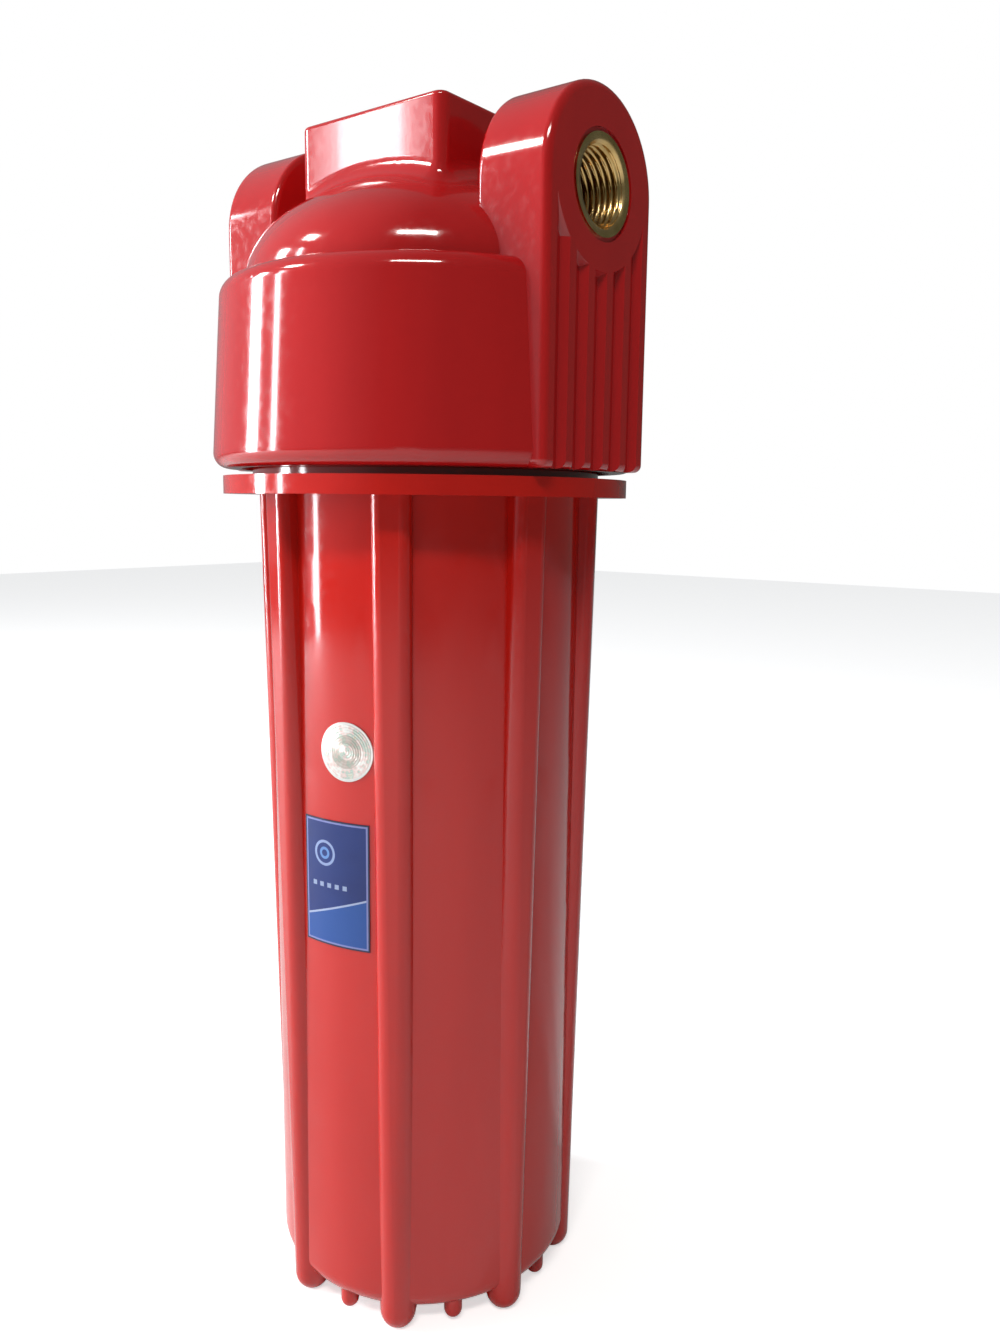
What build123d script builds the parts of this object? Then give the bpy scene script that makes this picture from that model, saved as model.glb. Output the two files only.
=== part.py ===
from build123d import *
from math import asin, cos, degrees, radians, sin, sqrt
import os

# Water filter housing for one 10 inch cartridge, in millimetres.
# Z is up, z = 0 is the plane that the feet stand on, and the bowl's axis is the Z axis.
# The ports lie along X, with the outlet at +X and the inlet at -X. The front is -Y.

# Bowl, outside
bowl_height = 234.7        # feet to the underside of the flange
flange_r = 57.5
flange_thickness = 4.9
panel_top_r = 44.9         # wall between the ribs, under the flange
panel_bottom_r = 44.2
bottom_corner_r = 6.0
bottom_clearance = 6.0     # underside of the bowl above the feet
rib_count = 8
rib_crest_top_r = 49.5
rib_crest_bottom_r = 45.8
rib_width = 10.2
rib_top_corner_r = 2.6
rib_root_fillet = 1.2
bowl_clock = 30.25         # first rib, in degrees from the front towards the outlet
nub_ring_r = 39.7
nub_r = 2.6
nub_clearance = 1.2        # the nubs between the feet end this far above them

# Bowl, inside
bowl_wall_top = 3.6
bowl_wall_bottom = 4.4
bowl_floor = 5.0
inner_corner_r = 5.0

# Neck and thread
head_gap = 2.0             # between the flange and the head, screwed home
neck_r = 49.4
neck_height = 37.0         # flange to rim
thread_pitch = 6.0
thread_depth = 2.0
thread_turns = 2.5
thread_start = 6.0         # flange to the middle of the first thread
thread_root_width = 3.4
thread_crest_width = 1.8
thread_clearance = 0.5     # radial, at crest and root
spigot_r = 48.4            # the plain end of the neck, above the thread
spigot_height = 12.0
rim_clearance = 1.5        # rim to the head's inner shoulder

# Seal
ring_section = 4.4
ring_depth_below_rim = 5.0
groove_width = 5.4
seal_clearance = 0.25      # free play at the bore and at the groove's bottom
seal_bore_clearance = 0.5  # bore over the spigot

# Head, outside
skirt_bottom_r = 60.2
skirt_top_r = 57.1
skirt_height = 50.1
skirt_bottom_fillet = 4.0
shoulder_fillet = 5.0
dome_r = 50.3
dome_rise = 28.0
block_x = 51.2
block_y = 47.8
block_height = 92.5        # underside of the head to the bracket platform
block_corner_r = 3.0
block_blend_r = 7.0
block_top_fillet = 1.2
port_span = 116.0          # face to face
port_height = 69.8         # underside of the head to the port axis
boss_width = 48.0
boss_length = 21.3
boss_face_fillet = 2.0
boss_inner_fillet = 1.6
flute_count = 5
flute_pitch = 8.5
flute_floor = 2.6
flute_mouth = 5.6
flute_depth = 2.0
flute_arc_r = 20.6         # the flutes stop on this circle round the port
recess_r = 13.4
recess_depth = 0.7
conduit_r = 11.5

# Head, inside
chamber_r = 42.0           # above the inner shoulder
chamber_rise = 3.5         # roof of the chamber above the outer shoulder
chamber_slope = 6.0
column_r = 20.0            # hangs from the roof and carries the cartridge's top seat
passage_r = 7.5
drop_r = 7.0
drop_x = -28.0             # where the inlet passage turns down into the chamber
bracket_hole_r = 2.1
bracket_hole_depth = 12.0
bracket_spacing_x = 38.0
bracket_spacing_y = 34.0

# Brass inserts, G1/2
insert_bore_r = 9.32
insert_mouth_r = 10.5
insert_rim_r = 12.3
insert_body_r = 13.6
insert_length = 17.0
insert_rim_length = 2.5
insert_groove = 1.0

# Cartridge
cartridge_length = 248.0
cartridge_r = 31.5
core_outer_r = 15.2
core_inner_r = 14.0
seat_height = 4.0
seat_r = 18.0
plug_clearance = 0.5
plug_wall = 2.0
plug_height = 10.0
seat_clearance = 0.2

# Label and sticker, on the panel that faces the front
label_height = 35.4
label_thickness = 0.2
label_drop = 104.0         # flange to the label's middle
label_margin = 0.35        # between the label and the ribs
sticker_r = 8.0
sticker_drop = 67.0
sticker_shift = 5.2        # degrees from the panel's middle towards the outlet

# Heights and radii that follow
z_flange = bowl_height
z_neck = z_flange + flange_thickness
z_rim = z_neck + neck_height
z_head = z_neck + head_gap
z_shoulder = z_head + skirt_height
z_port = z_head + port_height
z_top = z_head + block_height
z_inner_shoulder = z_rim + rim_clearance
z_thread = z_neck + thread_start
z_floor = bottom_clearance + bowl_floor
z_seat = z_floor + seat_height
z_column = z_seat + cartridge_length + seat_clearance
z_ring = z_rim - ring_depth_below_rim
port_face = port_span / 2
seal_bore_r = spigot_r + seal_bore_clearance
ring_outer_r = seal_bore_r - seal_clearance
groove_r = ring_outer_r - ring_section - seal_clearance
inner_top_r = panel_top_r - bowl_wall_top
inner_bottom_r = panel_bottom_r - bowl_wall_bottom
thread_bore_r = neck_r + thread_depth + thread_clearance
foot_r = rib_width / 2
foot_ring_r = rib_crest_bottom_r - foot_r
plug_r = core_inner_r - plug_clearance
rib_pitch = 360 / rib_count
front_panel = bowl_clock - rib_pitch / 2
z_roof = z_shoulder + chamber_rise
z_chamber = z_roof - chamber_slope


def polar(radius, angle, z=0.0):
    """A point at an angle in degrees from the front, towards the outlet."""
    return Vector(radius * sin(radians(angle)), -radius * cos(radians(angle)), z)


def revolved(points, arc=360.0):
    """Turn a closed outline of (radius, height) points about the Z axis."""
    outline = make_face(Polyline(*[(r, 0, z) for r, z in points], close=True))
    return revolve(outline, Axis.Z, arc)


def panel_r(z):
    """Radius of the wall between the ribs at height z."""
    share = (z - bottom_clearance) / (z_flange - bottom_clearance)
    return panel_bottom_r + share * (panel_top_r - panel_bottom_r)


def rib_section(crest_r, corner_r, z):
    """Section of one rib, along X, from inside the wall to its crest."""
    root_r = inner_bottom_r - 1.0
    corners = [(root_r, -rib_width / 2), (crest_r, -rib_width / 2),
               (crest_r, rib_width / 2), (root_r, rib_width / 2)]
    face = make_face(Polyline(*corners, close=True))
    outer = face.vertices().sort_by(Axis.X)[2:]
    return Pos(0, 0, z) * fillet(outer, corner_r)


def rib():
    """One rib, which tapers down into a round foot."""
    low = rib_section(rib_crest_bottom_r, foot_r - 0.05, foot_r)
    high = rib_section(rib_crest_top_r, rib_top_corner_r, z_flange + 1.0)
    foot = Pos(foot_ring_r, 0, foot_r) * Sphere(foot_r)
    return loft([low, high], ruled=True) + foot


def nub():
    """A small round stop between two feet."""
    z = nub_clearance + nub_r
    return Pos(nub_ring_r, 0, z) * (Sphere(nub_r) + Pos(0, 0, nub_r) * Cylinder(nub_r, 2 * nub_r))


def around(shape, count, first):
    """Copies of a shape drawn along X, spaced round the Z axis from an angle off the front."""
    return [Rot(0, 0, first - 90 + i * 360 / count) * shape for i in range(count)]


def thread_ridge(root_r, crest_r, z, turns):
    """A right-handed trapezoid ridge that starts at +X at height z."""
    path = Helix(thread_pitch, thread_pitch * turns, root_r, center=(0, 0, z))
    height = crest_r - root_r
    section = Polygon((0, -thread_root_width / 2), (height, -thread_crest_width / 2),
                      (height, thread_crest_width / 2), (0, thread_root_width / 2), align=None)
    start = Plane(origin=path @ 0, x_dir=(1, 0, 0), z_dir=path % 0)
    return sweep(start * section, path=path, is_frenet=True)


def bowl_outside():
    body = revolved([
        (0, bottom_clearance), (panel_bottom_r, bottom_clearance), (panel_top_r, z_flange),
        (flange_r, z_flange), (flange_r, z_neck), (neck_r, z_neck), (neck_r, z_rim - spigot_height),
        (spigot_r, z_rim - spigot_height + 1.0), (spigot_r, z_rim), (0, z_rim)])
    corner = body.edges().filter_by(GeomType.CIRCLE).sort_by(Axis.Z)[0]
    body = fillet(corner, bottom_corner_r)
    return body + around(rib(), rib_count, bowl_clock) + around(
        nub(), rib_count, bowl_clock + rib_pitch / 2)


def bowl_inside():
    """The space that holds the cartridge and the water."""
    space = revolved([(0, z_floor), (inner_bottom_r, z_floor), (inner_top_r, z_rim), (0, z_rim)])
    corner = space.edges().filter_by(GeomType.CIRCLE).sort_by(Axis.Z)[0]
    return fillet(corner, inner_corner_r)


def seat(z, up):
    """A flat seat for the end of the cartridge, with a hollow plug that enters its core."""
    rise = 1 if up else -1
    ring = revolved([(plug_r - plug_wall, z - rise * seat_height), (seat_r, z - rise * seat_height),
                     (seat_r, z), (plug_r, z), (plug_r, z + rise * (plug_height - 1.5)),
                     (plug_r - 1.0, z + rise * plug_height), (plug_r - plug_wall, z + rise * plug_height)])
    return ring


def bowl():
    body = bowl_outside() - bowl_inside()
    groove = revolved([(groove_r, z_ring - groove_width / 2), (spigot_r + 1, z_ring - groove_width / 2),
                       (spigot_r + 1, z_ring + groove_width / 2), (groove_r, z_ring + groove_width / 2)])
    ridge = thread_ridge(neck_r - 0.3, neck_r + thread_depth, z_thread, thread_turns)
    return body - groove + ridge + seat(z_seat, up=True)


def bowl_seal():
    centre_r = ring_outer_r - ring_section / 2
    return Pos(0, 0, z_ring) * Torus(centre_r, ring_section / 2)


def skirt():
    """The round lower part of the head, before it is hollowed."""
    body = revolved([(0, z_head), (skirt_bottom_r, z_head), (skirt_top_r, z_shoulder), (0, z_shoulder)])
    low, high = body.edges().filter_by(GeomType.CIRCLE).sort_by(Axis.Z)
    body = fillet(low, skirt_bottom_fillet)
    rims = [e for e in body.edges().filter_by(GeomType.CIRCLE) if (e @ 0).Z > z_shoulder - 0.01]
    body = fillet(rims, shoulder_fillet)
    return body & Box(2 * (port_face - boss_face_fillet), 4 * skirt_bottom_r, 4 * z_top)


def dome():
    """The rounded roof of the head, an ellipse turned about the Z axis."""
    arc = EllipticalCenterArc((0, z_shoulder), dome_r, dome_rise, 0, arc_size=90)
    centre = (0, z_shoulder)
    outline = make_face(Plane.XZ * (arc + Line(arc @ 1, centre) + Line(centre, arc @ 0)))
    return revolve(outline, Axis.Z)


def crown():
    """The dome and the bracket platform, blended into each other."""
    block = Pos(0, 0, z_shoulder) * extrude(Rectangle(block_x, block_y), z_top - z_shoulder)
    block = fillet(block.edges().filter_by(Axis.Z), block_corner_r)
    body = dome() + block
    seam = [e for e in body.edges() if z_shoulder + 1 < e.center().Z < z_top - 1
            and e.geom_type != GeomType.LINE]
    body = fillet(seam, block_blend_r)
    return fillet(body.faces().sort_by(Axis.Z)[-1].edges(), block_top_fillet)


def boss():
    """The port boss at +X, an arched slab that runs down to the underside of the head."""
    shape = Pos(0, z_port) * Circle(boss_width / 2)
    shape += Pos(0, (z_head + z_port) / 2) * Rectangle(boss_width, z_port - z_head)
    slab = extrude(Plane.YZ * shape, port_face)
    slab -= Box(2 * (port_face - boss_length), 2 * boss_width, 4 * z_top)
    foot_edges = [e for e in slab.faces().sort_by(Axis.Z)[0].edges() if abs((e @ 0.5).Y) > boss_width / 4]
    slab = fillet(slab.faces().sort_by(Axis.X)[-1].edges() + foot_edges, boss_face_fillet)
    arch = slab.faces().sort_by(Axis.X)[0].edges().filter_by(GeomType.CIRCLE)
    return fillet(arch, boss_inner_fillet)


def conduit():
    """The pipe inside which a passage runs from a boss to the middle of the head."""
    return Pos(0, 0, z_port) * Rot(0, 90, 0) * Cylinder(conduit_r, 2 * (port_face - boss_length) + 2)


def flutes():
    """The grooves below the +X port, cut away outside the circle round it."""
    slope = (flute_mouth - flute_floor) / 2 / flute_depth
    outer = flute_mouth / 2 + slope
    section = Polygon((1, -outer), (1, outer), (-flute_depth, flute_floor / 2),
                      (-flute_depth, -flute_floor / 2), align=None)
    length = port_height + 2
    cutters = []
    for i in range(flute_count):
        y = (i - (flute_count - 1) / 2) * flute_pitch
        cutters.append(Pos(port_face, y, z_head - 1) * extrude(section, length))
    keep = Pos(port_face, 0, z_port) * Rot(0, 90, 0) * Cone(
        flute_arc_r + flute_depth, flute_arc_r - flute_depth, 4 * flute_depth)
    return [c - keep for c in cutters]


def head_outside():
    port_boss = boss()
    body = skirt() + crown() + port_boss + Rot(0, 0, 180) * port_boss
    grooves = flutes()
    return body + conduit() - grooves - [Rot(0, 0, 180) * g for g in grooves]


def head_chamber():
    """The space inside the head: thread bore, seal bore and the chamber above them."""
    lead = 1.0
    z_bore = z_rim - spigot_height + lead
    return revolved([
        (0, z_head - 1), (thread_bore_r + lead, z_head - 1), (thread_bore_r + lead, z_head),
        (thread_bore_r, z_head + lead), (thread_bore_r, z_bore), (seal_bore_r, z_bore + 2 * lead),
        (seal_bore_r, z_inner_shoulder), (chamber_r, z_inner_shoulder), (chamber_r, z_chamber),
        (chamber_r - chamber_slope, z_roof), (0, z_roof)])


def column():
    """The hollow stem that hangs from the roof and holds the top of the cartridge."""
    return revolved([(0, z_column + seat_height), (seat_r, z_column + seat_height),
                     (column_r, z_column + 2 * seat_height), (column_r, z_roof + 1), (0, z_roof + 1)])


def passages():
    """The outlet runs to the middle and down the stem; the inlet drops into the chamber."""
    outlet = Pos(port_face / 2, 0, z_port) * Rot(0, 90, 0) * Cylinder(passage_r, port_face + 2 * passage_r)
    stem = Pos(0, 0, (z_column + z_port) / 2) * Cylinder(passage_r, z_port - z_column)
    inlet_length = port_face + drop_x + drop_r
    inlet = Pos(-port_face + inlet_length / 2, 0, z_port) * Rot(0, 90, 0) * Cylinder(passage_r, inlet_length)
    drop = Pos(drop_x, 0, (z_port + z_roof) / 2) * Cylinder(drop_r, z_port - z_roof + 2)
    return [outlet, stem, inlet, drop]


def insert_outside():
    """Outline of an insert, inner end first. Its grooves hold it in the plastic."""
    start = port_face - insert_length
    points = [(insert_body_r, start)]
    for i in (1, 2):
        x = start + i * insert_length / 4
        points += [(insert_body_r, x), (insert_body_r - insert_groove, x),
                   (insert_body_r - insert_groove, x + insert_groove), (insert_body_r, x + insert_groove)]
    x_rim = port_face - insert_rim_length
    return points + [(insert_body_r, x_rim), (insert_rim_r, x_rim), (insert_rim_r, port_face)]


def turned_about_port(points):
    """Turn (radius, x) points about the axis of the +X port."""
    return Pos(0, 0, z_port) * Rot(0, 90, 0) * revolved(points)


def insert():
    """Brass insert of the +X port."""
    chamfer = insert_mouth_r - insert_bore_r
    return turned_about_port(insert_outside() + [
        (insert_mouth_r, port_face), (insert_bore_r, port_face - chamfer),
        (insert_bore_r, port_face - insert_length)])


def insert_socket():
    """What the head leaves out for the insert of the +X port, with the recess round its rim."""
    inner = port_face - insert_length
    socket = turned_about_port([(0, inner)] + insert_outside() + [(0, port_face)])
    recess = Pos(port_face, 0, z_port) * Rot(0, 90, 0) * Cylinder(recess_r, 2 * recess_depth)
    return [socket, recess]


def bracket_holes():
    hole = Pos(0, 0, z_top - bracket_hole_depth / 2) * Cylinder(bracket_hole_r, bracket_hole_depth)
    return [Pos(x, y, 0) * hole for x in (-bracket_spacing_x / 2, bracket_spacing_x / 2)
            for y in (-bracket_spacing_y / 2, bracket_spacing_y / 2)]


def head():
    body = head_outside() - head_chamber() + column() - passages()
    body += seat(z_column, up=False)
    start = z_thread + thread_pitch / 2
    body += thread_ridge(thread_bore_r + 0.3, thread_bore_r - thread_depth, start, thread_turns)
    sockets = insert_socket()
    return body - sockets - [Rot(0, 0, 180) * s for s in sockets] - bracket_holes()


def cartridge_core():
    """The tube that the filter element is wound on."""
    middle = z_seat + cartridge_length / 2
    return Pos(0, 0, middle) * (Cylinder(core_outer_r, cartridge_length) - Cylinder(
        core_inner_r, cartridge_length))


def cartridge_winding():
    end = 3.0
    low, high = z_seat + end, z_seat + cartridge_length - end
    body = revolved([(core_outer_r, low), (cartridge_r, low), (cartridge_r, high), (core_outer_r, high)])
    rims = [e for e in body.edges().filter_by(GeomType.CIRCLE) if e.radius > cartridge_r - 0.1]
    return fillet(rims, 2.0)


def on_panel(low, high, half_angle, middle_angle):
    """A thin patch on the front panel between two heights, as wide as twice half_angle."""
    patch = revolved([(panel_r(low), low), (panel_r(low) + label_thickness, low),
                      (panel_r(high) + label_thickness, high), (panel_r(high), high)], 2 * half_angle)
    return Rot(0, 0, middle_angle - 90 - half_angle) * patch


def label():
    half = rib_pitch / 2 - degrees(asin((rib_width / 2 + rib_root_fillet + label_margin) / panel_bottom_r))
    middle = z_flange - label_drop
    return on_panel(middle - label_height / 2, middle + label_height / 2, half, front_panel)


def round_sticker():
    middle = z_flange - sticker_drop
    angle = front_panel + sticker_shift
    strip = on_panel(middle - 1.2 * sticker_r, middle + 1.2 * sticker_r, 14.0, angle)
    return strip & Rot(0, 0, angle - 90) * Pos(panel_top_r, 0, middle) * Rot(0, 90, 0) * Cylinder(
        sticker_r, 0.4 * panel_top_r)


def write(name, shape):
    export_step(shape, "parts/" + name + ".step")


def main():
    os.makedirs("parts", exist_ok=True)
    write("head", head())
    write("outlet_insert", insert())
    write("inlet_insert", Rot(0, 0, 180) * insert())
    write("bowl", bowl())
    write("bowl_seal", bowl_seal())
    write("cartridge_core", cartridge_core())
    write("cartridge_winding", cartridge_winding())
    write("label", label())
    write("round_sticker", round_sticker())


if __name__ == "__main__":
    main()
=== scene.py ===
import math

import bmesh
import bpy
from mathutils import Matrix, Vector

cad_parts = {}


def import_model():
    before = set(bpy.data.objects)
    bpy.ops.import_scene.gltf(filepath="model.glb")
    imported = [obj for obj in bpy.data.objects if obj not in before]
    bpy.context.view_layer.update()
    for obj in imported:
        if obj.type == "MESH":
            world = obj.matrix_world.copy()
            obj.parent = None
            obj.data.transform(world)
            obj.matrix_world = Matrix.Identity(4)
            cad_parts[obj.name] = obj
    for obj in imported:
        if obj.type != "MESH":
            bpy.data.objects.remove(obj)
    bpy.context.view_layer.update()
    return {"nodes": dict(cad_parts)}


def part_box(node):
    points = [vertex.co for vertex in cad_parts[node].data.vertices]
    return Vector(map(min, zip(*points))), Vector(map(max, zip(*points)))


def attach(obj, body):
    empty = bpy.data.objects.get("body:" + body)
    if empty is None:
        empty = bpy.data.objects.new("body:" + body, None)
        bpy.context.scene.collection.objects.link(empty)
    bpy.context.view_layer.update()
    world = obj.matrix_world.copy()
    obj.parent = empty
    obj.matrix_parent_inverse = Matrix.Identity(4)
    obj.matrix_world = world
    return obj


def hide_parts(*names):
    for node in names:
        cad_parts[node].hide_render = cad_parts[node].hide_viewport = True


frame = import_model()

nodes = frame["nodes"]

FLOOR_GLOW = 0.62          # lifts the floor to the white of the photograph

# Lens and place of the camera, from the outlines in the photograph
IMAGE_W, IMAGE_H = 1000, 1333
FOCAL_PX = 1078.0
CAMERA_AZ = 41.29          # degrees from the front, towards the outlet
CAMERA_DISTANCE = 0.3186   # from the housing's axis
CAMERA_YAW = 3.925         # the camera looks to the right of the axis
CAMERA_PITCH = 8.63        # and down
CAMERA_ROLL = 0.70

# Pipe thread G 1/2 of the brass inserts, in metres
THREAD_PITCH = 25.4e-3 / 14
THREAD_DEPTH = 1.162e-3
THREAD_FADE = 1.5e-3       # the thread runs out over this length at both ends
THREAD_SAMPLES = 10        # points along one turn's pitch
THREAD_SECTORS = 96        # points round the port

# The brass inserts, in metres
PORT_HEIGHT = 0.3114
INSERT_BORE_R = 9.32e-3
INSERT_MOUTH_R = 10.5e-3
INSERT_RIM_R = 12.3e-3
INSERT_BODY_R = 13.6e-3
INSERT_RIM_LENGTH = 2.5e-3
INSERT_GROOVE = 1.0e-3

# Label and round sticker on the front panel
PANEL_AZ = 7.75
LABEL_HALF_ANGLE = 13.847
STICKER_AZ = 12.95
PANEL_R = 44.7e-3


def node_size(name):
    low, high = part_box(name)
    return [high[i] - low[i] for i in range(3)]


def direction(az, el=0.0):
    """Unit vector at an azimuth from the front towards the outlet, and an elevation, in degrees."""
    a, e = math.radians(az), math.radians(el)
    return Vector((math.sin(a) * math.cos(e), -math.cos(a) * math.cos(e), math.sin(e)))


# Material helpers

def new_material(name):
    mat = bpy.data.materials.new(name)
    mat.use_nodes = True
    tree = mat.node_tree
    shader = next(n for n in tree.nodes if n.type == "BSDF_PRINCIPLED")
    return mat, tree, shader


def add(tree, kind, **values):
    node = tree.nodes.new(kind)
    for key, value in values.items():
        if hasattr(node, key):
            setattr(node, key, value)
        else:
            node.inputs[key.replace("_", " ")].default_value = value
    return node


def link(tree, out, into):
    tree.links.new(out, into)


def object_coords(tree):
    return add(tree, "ShaderNodeTexCoord").outputs["Object"]


def noise(tree, coords, scale, detail=3.0, roughness=0.5):
    node = add(tree, "ShaderNodeTexNoise")
    node.inputs["Scale"].default_value = scale
    node.inputs["Detail"].default_value = detail
    node.inputs["Roughness"].default_value = roughness
    link(tree, coords, node.inputs["Vector"])
    return node.outputs["Fac"]


def ramp(tree, fac, stops):
    node = add(tree, "ShaderNodeValToRGB")
    elements = node.color_ramp.elements
    while len(elements) < len(stops):
        elements.new(0.5)
    for element, (place, color) in zip(elements, stops):
        element.position = place
        element.color = color if len(color) == 4 else (*color, 1.0)
    link(tree, fac, node.inputs["Fac"])
    return node.outputs["Color"]


def grey(value):
    return (value, value, value, 1.0)


def math_node(tree, operation, a, b=None, c=None):
    node = add(tree, "ShaderNodeMath", operation=operation)
    for socket, value in zip(node.inputs, (a, b, c)):
        if value is None:
            continue
        if isinstance(value, (int, float)):
            socket.default_value = value
        else:
            link(tree, value, socket)
    return node.outputs[0]


def mix_color(tree, fac, a, b, blend="MIX"):
    node = add(tree, "ShaderNodeMix", data_type="RGBA", blend_type=blend)
    for socket, value in ((node.inputs[0], fac), (node.inputs[6], a), (node.inputs[7], b)):
        if isinstance(value, (int, float)):
            socket.default_value = value
        elif isinstance(value, tuple):
            socket.default_value = value if len(value) == 4 else (*value, 1.0)
        else:
            link(tree, value, socket)
    return node.outputs[2]


def bump(tree, shader, height, strength, distance):
    node = add(tree, "ShaderNodeBump")
    node.inputs["Strength"].default_value = strength
    node.inputs["Distance"].default_value = distance
    link(tree, height, node.inputs["Height"])
    link(tree, node.outputs["Normal"], shader.inputs["Normal"])
    return node


# Materials

def moulded_red(name, deep, bright, waviness):
    """Glossy moulded plastic: faint flow marks, fine waviness and a few scuffs in the gloss."""
    mat, tree, shader = new_material(name)
    coords = object_coords(tree)
    stretch = add(tree, "ShaderNodeMapping")
    stretch.inputs["Scale"].default_value = (1.0, 1.0, 0.18)
    link(tree, coords, stretch.inputs["Vector"])
    flow = noise(tree, stretch.outputs[0], 26.0, 4.0, 0.55)
    color = ramp(tree, flow, [(0.30, deep), (0.72, bright)])
    link(tree, color, shader.inputs["Base Color"])
    scuffs = noise(tree, coords, 420.0, 2.0, 0.6)
    rough = ramp(tree, scuffs, [(0.45, grey(0.10)), (0.80, grey(0.19))])
    link(tree, rough, shader.inputs["Roughness"])
    wave = noise(tree, stretch.outputs[0], 60.0, 2.0, 0.4)
    fine = noise(tree, coords, 900.0, 1.0, 0.5)
    height = math_node(tree, "MULTIPLY_ADD", fine, 0.06, wave)
    bump(tree, shader, height, waviness, 0.0006)
    shader.inputs["IOR"].default_value = 1.5
    shader.inputs["Coat Weight"].default_value = 0.25
    shader.inputs["Coat Roughness"].default_value = 0.04
    shader.inputs["Subsurface Weight"].default_value = 0.0
    return mat


def brass():
    """Turned brass, with rings from the tool and slight tarnish."""
    mat, tree, shader = new_material("port_brass")
    coords = object_coords(tree)
    stain = noise(tree, coords, 160.0, 4.0, 0.6)
    color = ramp(tree, stain, [(0.30, (0.56, 0.37, 0.13)), (0.70, (0.80, 0.58, 0.26))])
    link(tree, color, shader.inputs["Base Color"])
    rough = ramp(tree, stain, [(0.35, grey(0.16)), (0.75, grey(0.30))])
    link(tree, rough, shader.inputs["Roughness"])
    rings = noise(tree, coords, 900.0, 2.0, 0.5)
    bump(tree, shader, rings, 0.08, 0.0002)
    shader.inputs["Metallic"].default_value = 1.0
    return mat


def rubber():
    mat, tree, shader = new_material("seal_rubber")
    coords = object_coords(tree)
    speckle = noise(tree, coords, 500.0, 3.0, 0.6)
    color = ramp(tree, speckle, [(0.3, (0.012, 0.012, 0.013)), (0.8, (0.035, 0.035, 0.036))])
    link(tree, color, shader.inputs["Base Color"])
    bump(tree, shader, speckle, 0.15, 0.0002)
    shader.inputs["Roughness"].default_value = 0.55
    return mat


def core_plastic():
    mat, tree, shader = new_material("core_plastic")
    coords = object_coords(tree)
    haze = noise(tree, coords, 90.0, 3.0, 0.5)
    color = ramp(tree, haze, [(0.3, (0.72, 0.72, 0.70)), (0.8, (0.85, 0.85, 0.83))])
    link(tree, color, shader.inputs["Base Color"])
    shader.inputs["Roughness"].default_value = 0.45
    return mat


def wound_cord():
    """Crossed diagonal turns of soft white cord."""
    mat, tree, shader = new_material("winding")
    coords = object_coords(tree)
    parts = add(tree, "ShaderNodeSeparateXYZ")
    link(tree, coords, parts.inputs[0])
    angle = math_node(tree, "ARCTAN2", parts.outputs["Y"], parts.outputs["X"])
    height = math_node(tree, "MULTIPLY", parts.outputs["Z"], 900.0)
    turns = math_node(tree, "MULTIPLY", angle, 6.0)
    one = math_node(tree, "SINE", math_node(tree, "ADD", height, turns))
    two = math_node(tree, "SINE", math_node(tree, "SUBTRACT", height, turns))
    weave = math_node(tree, "MAXIMUM", one, two)
    fluff = noise(tree, coords, 700.0, 4.0, 0.7)
    color = ramp(tree, fluff, [(0.25, (0.62, 0.60, 0.55)), (0.75, (0.86, 0.85, 0.82))])
    link(tree, color, shader.inputs["Base Color"])
    bump(tree, shader, math_node(tree, "MULTIPLY_ADD", fluff, 0.4, weave), 0.8, 0.0008)
    shader.inputs["Roughness"].default_value = 0.95
    shader.inputs["Sheen Weight"].default_value = 0.3
    return mat


def panel_coords(tree, az, height):
    """Millimetres across and up on the front panel, from a point at an azimuth and height."""
    parts = add(tree, "ShaderNodeSeparateXYZ")
    link(tree, object_coords(tree), parts.inputs[0])
    back = math_node(tree, "MULTIPLY", parts.outputs["Y"], -1.0)
    angle = math_node(tree, "ARCTAN2", parts.outputs["X"], back)
    turned = math_node(tree, "SUBTRACT", angle, math.radians(az))
    across = math_node(tree, "MULTIPLY", turned, PANEL_R * 1000)
    up = math_node(tree, "MULTIPLY", math_node(tree, "SUBTRACT", parts.outputs["Z"], height), 1000.0)
    return across, up


def inside(tree, value, low, high):
    """1 where the value lies between two limits, else 0."""
    above = math_node(tree, "GREATER_THAN", value, low)
    below = math_node(tree, "LESS_THAN", value, high)
    return math_node(tree, "MULTIPLY", above, below)


def distance_from(tree, across, up, x, y):
    dx = math_node(tree, "SUBTRACT", across, x)
    dy = math_node(tree, "SUBTRACT", up, y)
    square = math_node(tree, "ADD", math_node(tree, "MULTIPLY", dx, dx), math_node(tree, "MULTIPLY", dy, dy))
    return math_node(tree, "SQRT", square)


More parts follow.
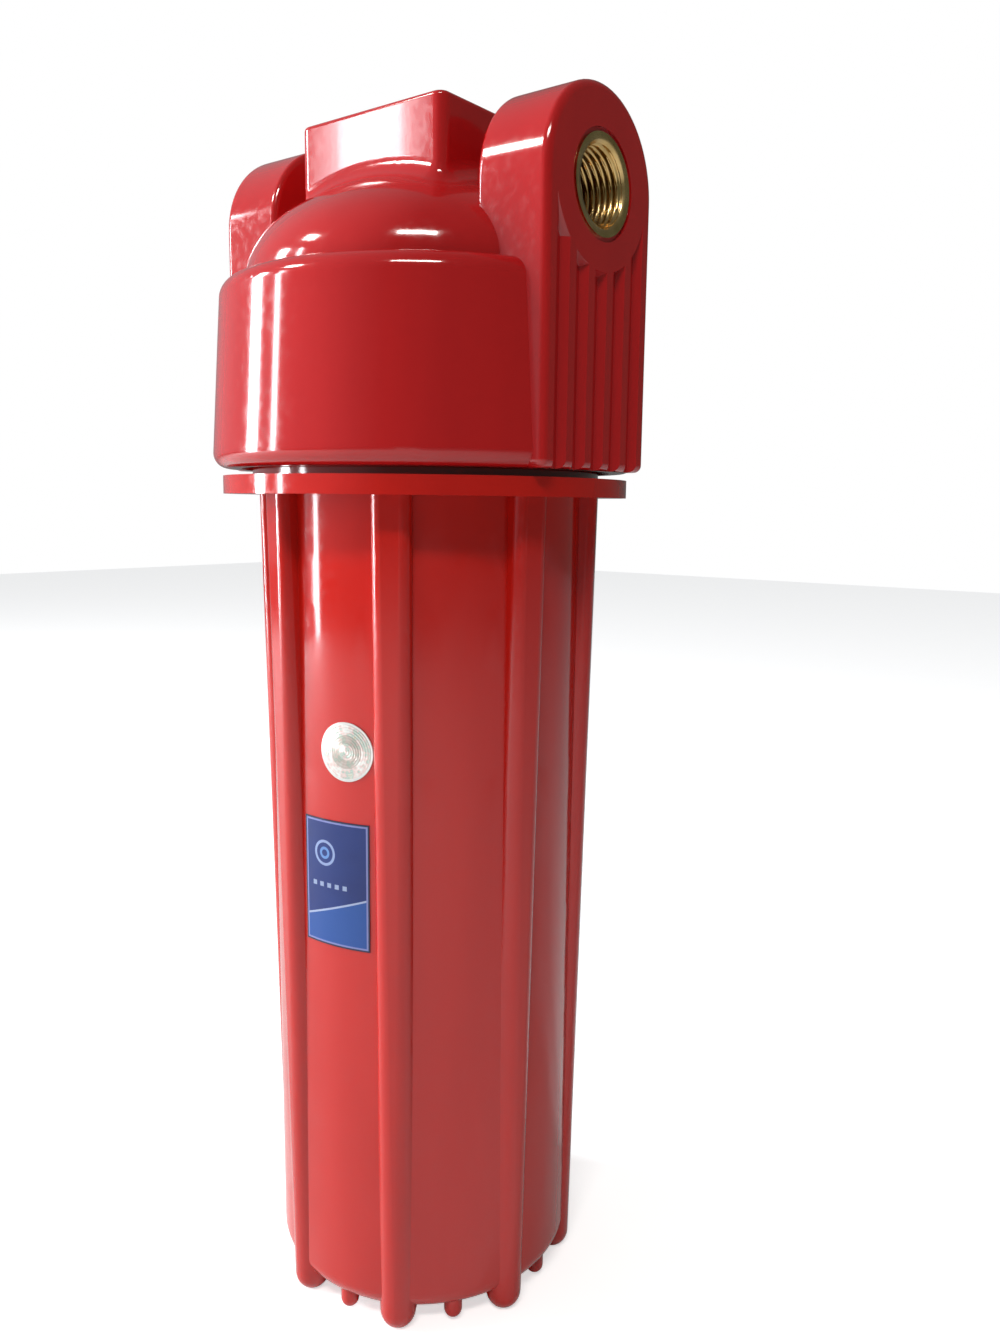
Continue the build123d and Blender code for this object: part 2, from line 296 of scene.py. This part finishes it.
def label_film():
    """Dark blue printed film with a pale border, a lighter slanted field, rings and a row of squares."""
    mat, tree, shader = new_material("label_film")
    low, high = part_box("label")
    half_height = (high[2] - low[2]) * 500
    half_width = math.radians(LABEL_HALF_ANGLE) * PANEL_R * 1000
    across, up = panel_coords(tree, PANEL_AZ, (low[2] + high[2]) / 2)
    fade = noise(tree, object_coords(tree), 60.0, 3.0, 0.5)
    blue = ramp(tree, fade, [(0.3, (0.004, 0.017, 0.115)), (0.75, (0.007, 0.028, 0.165))])
    slope = math_node(tree, "MULTIPLY_ADD", across, 0.34, -7.0)
    field = math_node(tree, "LESS_THAN", up, slope)
    color = mix_color(tree, field, blue, (0.012, 0.065, 0.270))
    stripe = inside(tree, math_node(tree, "SUBTRACT", up, slope), 0.0, 0.55)
    color = mix_color(tree, stripe, color, (0.30, 0.36, 0.52))
    for radius, tint in ((3.6, (0.22, 0.29, 0.50)), (1.7, (0.10, 0.22, 0.50))):
        ring = inside(tree, distance_from(tree, across, up, -3.4, 8.2), radius - 0.75, radius)
        color = mix_color(tree, ring, color, tint)
    step = math_node(tree, "FRACT", math_node(tree, "MULTIPLY", across, 1 / 2.6))
    squares = math_node(tree, "MULTIPLY", math_node(tree, "LESS_THAN", step, 0.52), inside(tree, up, -1.4, -0.1))
    squares = math_node(tree, "MULTIPLY", squares, inside(tree, across, -7.8, 5.2))
    color = mix_color(tree, squares, color, (0.24, 0.30, 0.46))
    to_side = math_node(tree, "SUBTRACT", half_width, math_node(tree, "ABSOLUTE", across))
    to_end = math_node(tree, "SUBTRACT", half_height, math_node(tree, "ABSOLUTE", up))
    edge = math_node(tree, "MINIMUM", to_side, to_end)
    color = mix_color(tree, inside(tree, edge, 0.45, 0.95), color, (0.17, 0.19, 0.42))
    color = mix_color(tree, math_node(tree, "LESS_THAN", edge, 0.45), color, (0.010, 0.014, 0.045))
    link(tree, color, shader.inputs["Base Color"])
    ripple = noise(tree, object_coords(tree), 110.0, 2.0, 0.5)
    bump(tree, shader, ripple, 0.12, 0.0004)
    shader.inputs["Roughness"].default_value = 0.22
    return mat


def sticker_foil():
    """Silver foil whose fine facets and rings shimmer between gold, rose and green."""
    mat, tree, shader = new_material("sticker_foil")
    low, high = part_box("round_sticker")
    across, up = panel_coords(tree, STICKER_AZ, (low[2] + high[2]) / 2)
    radius = distance_from(tree, across, up, 0.0, 0.0)
    cells = add(tree, "ShaderNodeTexVoronoi")
    cells.inputs["Scale"].default_value = 900.0
    link(tree, object_coords(tree), cells.inputs["Vector"])
    patches = noise(tree, object_coords(tree), 230.0, 2.0, 0.5)
    tone = math_node(tree, "MULTIPLY_ADD", cells.outputs["Distance"], 0.35, patches)
    color = ramp(tree, tone, [(0.32, (0.52, 0.44, 0.22)), (0.45, (0.72, 0.70, 0.62)), (0.56, (0.50, 0.62, 0.55)),
                              (0.66, (0.80, 0.62, 0.58)), (0.80, (0.85, 0.84, 0.80))])
    dark = math_node(tree, "MULTIPLY", inside(tree, radius, 2.2, 4.6), 0.45)
    color = mix_color(tree, dark, color, (0.30, 0.28, 0.22))
    color = mix_color(tree, math_node(tree, "GREATER_THAN", radius, 7.3), color, (0.78, 0.77, 0.74))
    link(tree, color, shader.inputs["Base Color"])
    rings = math_node(tree, "SINE", math_node(tree, "MULTIPLY", radius, 9.0))
    bump(tree, shader, math_node(tree, "MULTIPLY_ADD", cells.outputs["Distance"], 2.0, rings), 0.35, 0.0001)
    shader.inputs["Metallic"].default_value = 0.85
    shader.inputs["Roughness"].default_value = 0.32
    return mat


def thread_radius(depth_in, angle, length):
    """Radius of the threaded bore at a depth from the port's face and an angle round the port."""
    chamfer = INSERT_MOUTH_R - depth_in
    phase = 2 * math.pi * depth_in / THREAD_PITCH - angle
    run_out = min(1.0, depth_in / THREAD_FADE, (length - depth_in) / THREAD_FADE)
    groove = THREAD_DEPTH * (0.5 - 0.5 * math.cos(phase)) * max(0.0, run_out)
    return max(chamfer, INSERT_BORE_R + groove)


def insert_profile(angle, face, inner):
    """Closed outline of an insert, as (distance from the axis, x) points, at one angle round the port."""
    length = face - inner
    points = [(INSERT_BODY_R, inner)]
    for i in (1, 2):
        x = inner + i * length / 4
        bottom = INSERT_BODY_R - INSERT_GROOVE
        points += [(INSERT_BODY_R, x), (bottom, x), (bottom, x + INSERT_GROOVE), (INSERT_BODY_R, x + INSERT_GROOVE)]
    rim = face - INSERT_RIM_LENGTH
    points += [(INSERT_BODY_R, rim), (INSERT_RIM_R, rim), (INSERT_RIM_R, face)]
    count = round(length / THREAD_PITCH * THREAD_SAMPLES)
    for i in range(count + 1):
        depth_in = length * i / count
        points.append((thread_radius(depth_in, angle, length), face - depth_in))
    return points


def threaded_insert(name, node, side, mat):
    """An insert with its pipe thread, for the port at +X (side 1) or -X (side -1)."""
    low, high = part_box(node)
    face, inner = (high[0], low[0]) if side > 0 else (-low[0], -high[0])
    bm = bmesh.new()
    rings = []
    for j in range(THREAD_SECTORS):
        angle = 2 * math.pi * j / THREAD_SECTORS
        ring = []
        for r, x in insert_profile(angle, face, inner):
            y, z = r * math.cos(angle), r * math.sin(angle)
            ring.append(bm.verts.new((side * x, side * y, PORT_HEIGHT + z)))
        rings.append(ring)
    count = len(rings[0])
    for j in range(THREAD_SECTORS):
        here, there = rings[j], rings[(j + 1) % THREAD_SECTORS]
        for i in range(count):
            k = (i + 1) % count
            bm.faces.new((here[i], here[k], there[k], there[i]))
    bmesh.ops.recalc_face_normals(bm, faces=bm.faces)
    mesh = bpy.data.meshes.new(name)
    bm.to_mesh(mesh)
    bm.free()
    mesh.shade_smooth()
    mesh.set_sharp_from_angle(angle=math.radians(50))
    piece = bpy.data.objects.new(name, mesh)
    bpy.context.collection.objects.link(piece)
    paint(piece, mat)
    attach(piece, "head")
    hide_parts(node)


def threaded_inserts():
    mat = brass()
    threaded_insert("outlet_insert_threaded", "outlet_insert", 1, mat)
    threaded_insert("inlet_insert_threaded", "inlet_insert", -1, mat)


def paint(obj, mat):
    obj.data.materials.clear()
    obj.data.materials.append(mat)


def paint_frame():
    head_red = moulded_red("head_plastic", (0.360, 0.006, 0.007), (0.440, 0.010, 0.010), 0.06)
    bowl_red = moulded_red("bowl_plastic", (0.400, 0.006, 0.003), (0.500, 0.010, 0.005), 0.08)
    for slot in nodes["head"].material_slots:
        slot.material = head_red
    for slot in nodes["bowl"].material_slots:
        slot.material = bowl_red
    for name, mat in (("bowl_seal", rubber()), ("cartridge_core", core_plastic()),
                      ("cartridge_winding", wound_cord()), ("label", label_film()),
                      ("round_sticker", sticker_foil())):
        for slot in nodes[name].material_slots:
            slot.material = mat


# Surroundings

def floor():
    size = 6.0
    bpy.ops.mesh.primitive_plane_add(size=size, location=(0, 0, 0))
    plane = bpy.context.object
    plane.name = "floor"
    mat, tree, shader = new_material("floor")
    speck = noise(tree, object_coords(tree), 40.0, 3.0, 0.5)
    link(tree, ramp(tree, speck, [(0.2, grey(0.85)), (0.8, grey(0.89))]), shader.inputs["Base Color"])
    shader.inputs["Roughness"].default_value = 0.9
    seen = add(tree, "ShaderNodeLightPath").outputs["Is Camera Ray"]
    shader.inputs["Emission Color"].default_value = (1.0, 1.0, 1.0, 1.0)
    link(tree, math_node(tree, "MULTIPLY", seen, FLOOR_GLOW), shader.inputs["Emission Strength"])
    paint(plane, mat)


def light(name, az, el, distance, width, height, power, color=(1, 1, 1)):
    """A soft box that faces the middle of the head from an azimuth and elevation."""
    target = Vector((0, 0, 0.27))
    data = bpy.data.lights.new(name, "AREA")
    data.shape = "RECTANGLE"
    data.size, data.size_y = width, height
    data.energy = power
    data.color = color
    lamp = bpy.data.objects.new(name, data)
    bpy.context.collection.objects.link(lamp)
    place = target + direction(az, el) * distance
    lamp.location = place
    lamp.rotation_euler = (target - place).to_track_quat("-Z", "Y").to_euler()
    return lamp


def lights():
    light("window_left", -60.0, 8.0, 1.6, 0.22, 1.00, 26.0, (0.93, 0.96, 1.0))
    light("window_right", -43.5, 8.0, 1.6, 0.10, 1.00, 8.0, (0.93, 0.96, 1.0))
    light("ceiling", 34.0, 46.0, 1.4, 0.50, 0.16, 10.0, (1.0, 0.97, 0.93))
    light("ceiling_left", -44.0, 37.0, 1.4, 0.22, 0.14, 6.0, (1.0, 0.97, 0.93))


def world():
    """White behind the housing; what lights it is softer, brighter to the left and above."""
    scene_world = bpy.data.worlds.new("studio")
    bpy.context.scene.world = scene_world
    scene_world.use_nodes = True
    tree = scene_world.node_tree
    background = next(n for n in tree.nodes if n.type == "BACKGROUND")
    coords = add(tree, "ShaderNodeTexCoord").outputs["Generated"]
    toward = direction(-60.0, 15.0)
    dot = add(tree, "ShaderNodeVectorMath", operation="DOT_PRODUCT")
    dot.inputs[1].default_value = toward
    link(tree, coords, dot.inputs[0])
    room = ramp(tree, math_node(tree, "MULTIPLY_ADD", dot.outputs["Value"], 0.5, 0.5),
                [(0.15, (0.10, 0.11, 0.10)), (0.62, (0.15, 0.15, 0.15)), (0.95, (0.50, 0.52, 0.56))])
    path = add(tree, "ShaderNodeLightPath")
    color = mix_color(tree, path.outputs["Is Camera Ray"], room, (1.0, 1.0, 1.0))
    link(tree, color, background.inputs["Color"])
    background.inputs["Strength"].default_value = 1.0


def camera():
    a, yaw = math.radians(CAMERA_AZ), math.radians(CAMERA_YAW)
    pitch, roll = math.radians(CAMERA_PITCH), math.radians(CAMERA_ROLL)
    flange = 0.2347
    place = Vector((math.sin(a) * CAMERA_DISTANCE, -math.cos(a) * CAMERA_DISTANCE, flange - 0.00166))
    level = Vector((-math.sin(a), math.cos(a), 0))
    level = Matrix.Rotation(-yaw, 3, "Z") @ level
    right = level.cross(Vector((0, 0, 1)))
    ahead = level * math.cos(pitch) - Vector((0, 0, math.sin(pitch)))
    up = right.cross(ahead)
    tilt_right = right * math.cos(roll) + up * math.sin(roll)
    tilt_up = -right * math.sin(roll) + up * math.cos(roll)
    data = bpy.data.cameras.new("camera")
    data.sensor_fit = "VERTICAL"
    data.sensor_height = 36.0
    data.lens = data.sensor_height * FOCAL_PX / IMAGE_H
    data.clip_start = 0.01
    cam = bpy.data.objects.new("camera", data)
    bpy.context.collection.objects.link(cam)
    axes = Matrix((tilt_right, tilt_up, -ahead)).transposed()
    cam.matrix_world = Matrix.Translation(place) @ axes.to_4x4()
    bpy.context.scene.camera = cam


bpy.context.scene.view_settings.view_transform = "Standard"
camera()
floor()
lights()
world()
paint_frame()
threaded_inserts()
